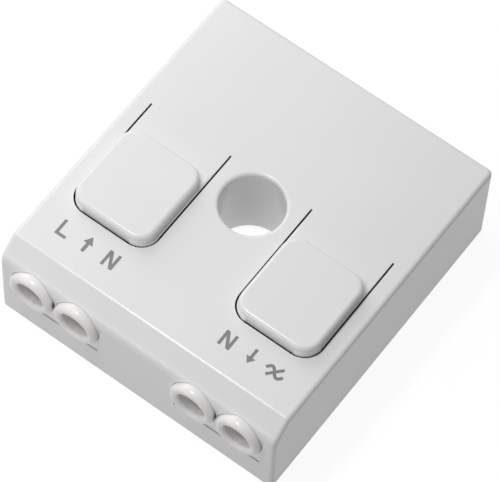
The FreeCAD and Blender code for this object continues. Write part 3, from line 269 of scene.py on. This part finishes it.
def moulded_plastic(name, colour, gloss, painted_depth_shade=None):
    """Injection-moulded plastic whose slits are painted near-black as shade.

    It has faint flow marks, fine grain, rub marks, specks, and dust with painted shade in grooves.
    A painted depth shade darkens funnels.
    """
    finish = Finish(name)
    flow = finish.spread(finish.noise(scale=55, detail=3.0), FLOW_LOW, FLOW_HIGH, 0.0, 1.0)
    base = finish.tones(flow, colour, darker=0.985, lighter=1.012)
    base = finish.specks(base, tone(colour, 0.7), cells=420, size=0.05, share=0.03)
    # Dust and painted shade in grooves and corners
    base = finish.grime_and_shade(base, **GROOVE_DUST_AND_SHADE)
    # Painted shade that turns slits and gaps near-black
    base = finish.grime_and_shade(base, **SLIT_PAINTED_SHADE)
    # Painted shade deep in funnels and bores
    if painted_depth_shade:
        base = finish.grime_and_shade(base, **painted_depth_shade)
    finish.colour(base)
    rub = finish.noise(scale=420, detail=4.0, roughness=0.65, stretch=(1.0, 0.35, 1.0))
    finish.roughness(finish.vary(rub, gloss - 0.012, gloss + 0.018))
    finish.bump(finish.noise(scale=3200), depth=0.0008, strength=0.6)
    return finish.material


def printed_ink(name, colour):
    """Pad-printed ink, a little uneven and rubbed."""
    finish = Finish(name)
    uneven = finish.vary(finish.noise(scale=2600, detail=3.0), 0.0, 1.0)
    finish.colour(finish.tones(uneven, colour, darker=0.93, lighter=1.1))
    finish.roughness(finish.vary(finish.noise(scale=1500), 0.38, 0.5))
    finish.bump(finish.noise(scale=5200), depth=0.002, strength=0.5)
    return finish.material


def sheet_metal(name, colour, gloss, way=LINES_ALONG_Y):
    """Rolled or plated metal with fine lines along one direction."""
    finish = Finish(name, metallic=1.0)
    lines = finish.noise(scale=2600, detail=4.0, stretch=way)
    finish.colour(finish.tones(lines, colour, darker=0.88, lighter=1.06))
    finish.roughness(finish.vary(lines, gloss - 0.06, gloss + 0.1))
    finish.bump(lines, depth=0.002, strength=0.5)
    return finish.material


def solder_mask(name, colour):
    """A green board whose copper tracks show as slightly raised, lighter runs."""
    finish = Finish(name, coat=0.2)
    bricks = finish.node("ShaderNodeTexBrick", offset=0.37, squash=0.6)
    bricks.inputs["Scale"].default_value = 210
    bricks.inputs["Mortar Size"].default_value = 0.035
    bricks.inputs["Mortar Smooth"].default_value = 0.3
    finish.wire(finish.place, bricks.inputs["Vector"])
    base = finish.tones(bricks.outputs["Fac"], colour, darker=1.0, lighter=1.7)
    weave = finish.vary(finish.noise(scale=900), 0.0, 0.25)
    finish.colour(finish.mix(weave, base, tone(colour, 0.7)))
    finish.roughness(finish.vary(finish.noise(scale=300), 0.3, 0.45))
    finish.bump(bricks.outputs["Fac"], depth=0.03, strength=0.8)
    return finish.material


def small_package(name, colour, gloss, grain=0.01):
    """The skin of a board component: moulded, sleeved, dipped or fired; its grain in mm."""
    finish = Finish(name)
    mottle = finish.noise(scale=1300, detail=3.0)
    finish.colour(finish.tones(mottle, colour, darker=0.85, lighter=1.15))
    finish.roughness(finish.vary(finish.noise(scale=2400), gloss - 0.05, gloss + 0.08))
    finish.bump(finish.noise(scale=3800, detail=3.0), depth=grain, strength=0.6)
    return finish.material


# Each slot's maker, name, colour and roughness, and what the maker takes besides
FINISHES = (
    (moulded_plastic, "housing_plastic", HOUSING_WHITE, HOUSING_GLOSS),
    (moulded_plastic, "terminal_plastic", TERMINAL_WHITE, TERMINAL_GLOSS, FUNNEL_SHADE),
    (sheet_metal, "tinned_copper", (0.72, 0.68, 0.60), 0.32),
    (sheet_metal, "spring_steel", (0.60, 0.60, 0.61), 0.28),
    (solder_mask, "board_laminate", (0.03, 0.13, 0.06)),
    (small_package, "moulded_package", (0.035, 0.035, 0.038), 0.55),
    (small_package, "film_box", (0.50, 0.34, 0.06), 0.42),
    (small_package, "can_sleeve", (0.03, 0.035, 0.07), 0.30, 0.003),
    (small_package, "ferrite", (0.07, 0.065, 0.06), 0.62),
    (small_package, "lacquer", (0.12, 0.24, 0.30), 0.35, 0.005),
    (small_package, "varistor_coating", (0.03, 0.09, 0.28), 0.38, 0.012),
    (sheet_metal, "shield_metal", (0.70, 0.70, 0.69), 0.30, LINES_ALONG_X),
    (small_package, "ceramic", (0.72, 0.70, 0.64), 0.40, 0.004),
    (small_package, "ceramic_tan", (0.46, 0.33, 0.20), 0.48, 0.004),
    (small_package, "header_plastic", (0.02, 0.02, 0.02), 0.5),
)
MATERIALS = {slot: make(slot, *values) for make, slot, *values in FINISHES}
INK = printed_ink("printed_ink", INK_GREY)


def finish_nodes():
    """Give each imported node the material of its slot."""
    for row in frame["record"]["subparts"]:
        mesh = NODES[row["node"]].data
        mesh.materials.clear()
        mesh.materials.append(MATERIALS[row["material_slot"]])


# Pieces made here


def object_from(name, shape, material):
    """A linked object from a bmesh, in the row frame."""
    mesh = bpy.data.meshes.new(name)
    shape.to_mesh(mesh)
    shape.free()
    mesh.materials.append(material)
    piece = bpy.data.objects.new(name, mesh)
    SCENE.collection.objects.link(piece)
    return piece


def smooth(piece):
    """Smooth shading that keeps flat faces flat and corners sharp."""
    piece.data.shade_smooth()
    piece.data.set_sharp_from_angle(angle=SMOOTH_ANGLE)
    weights = piece.modifiers.new("even_faces", "WEIGHTED_NORMAL")
    weights.keep_sharp = True
    return piece


def hinged_tab(side):
    """A release tab whose web runs into the cover without a gap, cut into slices so that it can
    bend.
    """
    node = f"release_tab_{side}"
    shape = bmesh.new()
    shape.from_mesh(NODES[node].data)
    bmesh.ops.remove_doubles(shape, verts=shape.verts, dist=WELD_DISTANCE * MM)
    root = max(vert.co.y for vert in shape.verts)
    for cut in range(1, WEB_CUTS):
        level = root - cut * WEB_LENGTH * MM / WEB_CUTS
        everything = shape.verts[:] + shape.edges[:] + shape.faces[:]
        bmesh.ops.bisect_plane(shape, geom=everything, plane_co=(0, level, 0), plane_no=(0, 1, 0))
    for vert in shape.verts:
        if vert.co.y > root - ROOT_TOLERANCE * MM:
            vert.co.y = root + HINGE_GAP * MM
    tab = smooth(object_from(f"hinged_tab_{side}", shape, MATERIALS["housing_plastic"]))
    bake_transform(tab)
    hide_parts(node)


def plate(shape, outline, height=MARK_HEIGHT):
    """Add a thin closed plate on the top face; the outline is in mm, counter-clockwise."""
    low, high = (TOP_Z - MARK_SUNK) * MM, (TOP_Z + height) * MM
    bottom = [shape.verts.new((x * MM, y * MM, low)) for x, y in outline]
    top = [shape.verts.new((x * MM, y * MM, high)) for x, y in outline]
    shape.faces.new(top)
    shape.faces.new(list(reversed(bottom)))
    for index in range(len(outline)):
        after = (index + 1) % len(outline)
        shape.faces.new((bottom[index], bottom[after], top[after], top[index]))


def bar(shape, start, end, width):
    """Add a straight printed stroke."""
    start, end = Vector(start), Vector(end)
    along = (end - start).normalized() * (width / 2)
    side = Vector((-along.y, along.x))
    plate(shape, [start - side, end - side, end + side, start + side], BAR_HEIGHT)


def letter_n(shape, x, y, width, height):
    """Add the neutral mark; x, y is its lower left corner."""
    slant, notch = STROKE * SLANT_WIDTH, STROKE * NOTCH_DEPTH
    plate(shape, [
        (x, y), (x + STROKE, y), (x + STROKE, y + height - notch),
        (x + width - slant, y), (x + width, y), (x + width, y + height),
        (x + width - STROKE, y + height), (x + width - STROKE, y + notch),
        (x + slant, y + height), (x, y + height),
    ])


def letter_l(shape, x, y, width, height):
    """Add the live mark; x, y is its lower left corner."""
    plate(shape, [(x, y), (x + width, y), (x + width, y + STROKE), (x + STROKE, y + STROKE),
                  (x + STROKE, y + height), (x, y + height)])


def arrow(shape, x, tail, tip, head_width, head_length, stroke=STROKE):
    """Add an arrow along Y from its tail to its tip."""
    way = 1 if tip > tail else -1
    neck = tip - way * head_length
    points = [(x - stroke / 2, tail), (x + stroke / 2, tail), (x + stroke / 2, neck),
              (x + head_width / 2, neck), (x, tip), (x - head_width / 2, neck),
              (x - stroke / 2, neck)]
    plate(shape, points if way > 0 else list(reversed(points)))


def wave(shape, x, y, length, height):
    """Add one period of a sine, the sign for alternating current, centred at x, y."""
    upper, lower = [], []
    for step in range(WAVE_STEPS + 1):
        phase = 2 * math.pi * step / WAVE_STEPS
        slope = height * math.pi / length * math.cos(phase)
        across = Vector((-slope, 1.0)).normalized() * (STROKE / 2)
        along = x + length * (step / WAVE_STEPS - 0.5)
        middle = Vector((along, y + height / 2 * math.sin(phase)))
        upper.append(middle + across)
        lower.append(middle - across)
    plate(shape, lower + list(reversed(upper)))


def terminal_marks():
    """The plain marks beside the wire entries: live, neutral, in, out and dimmed."""
    left = bmesh.new()
    letter_l(left, x=-14.67, y=-14.37, width=1.38, height=2.0)
    arrow(left, x=-10.97, tail=-14.39, tip=-12.32, head_width=1.2, head_length=0.96, stroke=0.4)
    letter_n(left, x=-8.59, y=-14.37, width=1.48, height=2.0)
    right = bmesh.new()
    letter_n(right, x=6.82, y=-14.37, width=1.5, height=1.92)
    arrow(right, x=10.69, tail=-12.42, tip=-14.37, head_width=1.15, head_length=0.81)
    wave(right, x=13.65, y=-13.48, length=2.2, height=0.96)
    bar(right, start=(12.98, -14.19), end=(14.38, -12.67), width=0.34)
    for side, shape in (("left", left), ("right", right)):
        bmesh.ops.recalc_face_normals(shape, faces=shape.faces)
        marks = object_from(f"terminal_marks_{side}", shape, INK)
        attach(marks, "housing")


# Stage


def bare_material(name):
    """A new material whose tree holds only its output; also the tree and the output's socket."""
    material = bpy.data.materials.new(name)
    material.use_nodes = True
    tree = material.node_tree
    tree.nodes.clear()
    return material, tree, tree.nodes.new("ShaderNodeOutputMaterial").inputs[0]


def white_rays(tree):
    """1 for rays that show the background: camera, glossy and transmission rays."""
    path = tree.nodes.new("ShaderNodeLightPath")
    total = path.outputs["Is Camera Ray"]
    for name in ("Is Glossy Ray", "Is Transmission Ray"):
        larger = tree.nodes.new("ShaderNodeMath")
        larger.operation = "MAXIMUM"
        tree.links.new(total, larger.inputs[0])
        tree.links.new(path.outputs[name], larger.inputs[1])
        total = larger.outputs[0]
    return total


def seen_strength(tree, as_light):
    """A strength that is full white where it is seen, and less as light on the object."""
    strength = tree.nodes.new("ShaderNodeMapRange")
    strength.inputs["To Min"].default_value = as_light
    strength.inputs["To Max"].default_value = WHITE
    tree.links.new(white_rays(tree), strength.inputs["Value"])
    return strength.outputs["Result"]


def grey_diffuse(tree, level):
    """A matt grey shader."""
    shader = tree.nodes.new("ShaderNodeBsdfDiffuse")
    shader.inputs["Color"].default_value = (level, level, level, 1.0)
    return shader.outputs[0]


def floor_material():
    """A pale floor that shows as white, with the object's soft shadow."""
    material, tree, surface = bare_material("floor")
    seen = tree.nodes.new("ShaderNodeAddShader")
    glow = tree.nodes.new("ShaderNodeEmission")
    glow.inputs["Strength"].default_value = FLOOR_GLOW
    tree.links.new(glow.outputs[0], seen.inputs[0])
    tree.links.new(grey_diffuse(tree, FLOOR_CATCH), seen.inputs[1])
    choose = tree.nodes.new("ShaderNodeMixShader")
    tree.links.new(white_rays(tree), choose.inputs[0])
    tree.links.new(grey_diffuse(tree, FLOOR_AS_LIGHT), choose.inputs[1])
    tree.links.new(seen.outputs[0], choose.inputs[2])
    tree.links.new(choose.outputs[0], surface)
    return material


def add_floor():
    shape = bmesh.new()
    bmesh.ops.create_grid(shape, x_segments=1, y_segments=1, size=FLOOR_REACH)
    floor = object_from("floor", shape, floor_material())
    floor.location.z = -FLOOR_DROP * MM


def add_hole_card():
    """A white card on the floor under the centre hole, which lights the tube from below."""
    material, tree, surface = bare_material("hole_card")
    glow = tree.nodes.new("ShaderNodeEmission")
    tree.links.new(seen_strength(tree, CARD_AS_LIGHT), glow.inputs["Strength"])
    tree.links.new(glow.outputs[0], surface)
    shape = bmesh.new()
    bmesh.ops.create_circle(shape, cap_ends=True, segments=CARD_SEGMENTS, radius=CARD_RADIUS * MM)
    card = object_from("hole_card", shape, material)
    card.location = (0, HOLE_Y * MM, -CARD_DROP * MM)


def add_world():
    """Even white surroundings: full white where they are seen, dimmer as light."""
    world = bpy.data.worlds.new("studio")
    world.use_nodes = True
    SCENE.world = world
    tree = world.node_tree
    background = tree.nodes["Background"]
    tree.links.new(seen_strength(tree, WORLD_AS_LIGHT), background.inputs["Strength"])
    background.inputs["Color"].default_value = (WHITE, WHITE, WHITE, 1.0)


def add_softbox(name, place, aim, width, length, power):
    """An area light at a place, turned to its aim."""
    light = bpy.data.lights.new(name, "AREA")
    light.shape = "RECTANGLE"
    light.size = width * MM
    light.size_y = length * MM
    light.energy = power
    lamp = bpy.data.objects.new(name, light)
    place, aim = Vector(place) * MM, Vector(aim) * MM
    lamp.location = place
    lamp.rotation_euler = (aim - place).to_track_quat("-Z", "Y").to_euler()
    SCENE.collection.objects.link(lamp)


def add_camera():
    """The photograph's camera, from its fitted angles, distance and scale."""
    azimuth, elevation = math.radians(CAMERA_AZIMUTH), math.radians(CAMERA_ELEVATION)
    roll = math.radians(CAMERA_ROLL)
    back = Vector((math.sin(azimuth) * math.cos(elevation),
                   -math.cos(azimuth) * math.cos(elevation), math.sin(elevation)))
    level = Vector((0, 0, 1)).cross(back).normalized()
    upward = back.cross(level)
    right = math.cos(roll) * level + math.sin(roll) * upward
    up = math.cos(roll) * upward - math.sin(roll) * level
    eye = right * CAMERA_AIM[0] + up * CAMERA_AIM[1] + back * CAMERA_DISTANCE
    eye.y += CAMERA_BACK
    data = bpy.data.cameras.new("camera")
    data.sensor_width = SENSOR_WIDTH
    data.lens = PIXELS_PER_MM * CAMERA_DISTANCE / IMAGE_WIDTH * SENSOR_WIDTH
    data.clip_start = CLIP_START
    data.clip_end = CLIP_END
    camera = bpy.data.objects.new("camera", data)
    turn = Matrix((right, up, back)).transposed().to_4x4()
    camera.matrix_world = Matrix.Translation(eye * MM) @ turn
    SCENE.collection.objects.link(camera)
    SCENE.camera = camera


finish_nodes()
for side in ("left", "right"):
    hinged_tab(side)
terminal_marks()
add_floor()
add_hole_card()
add_world()
for lamp_values in LAMPS:
    add_softbox(*lamp_values)
add_camera()
SCENE.view_settings.view_transform = "Standard"
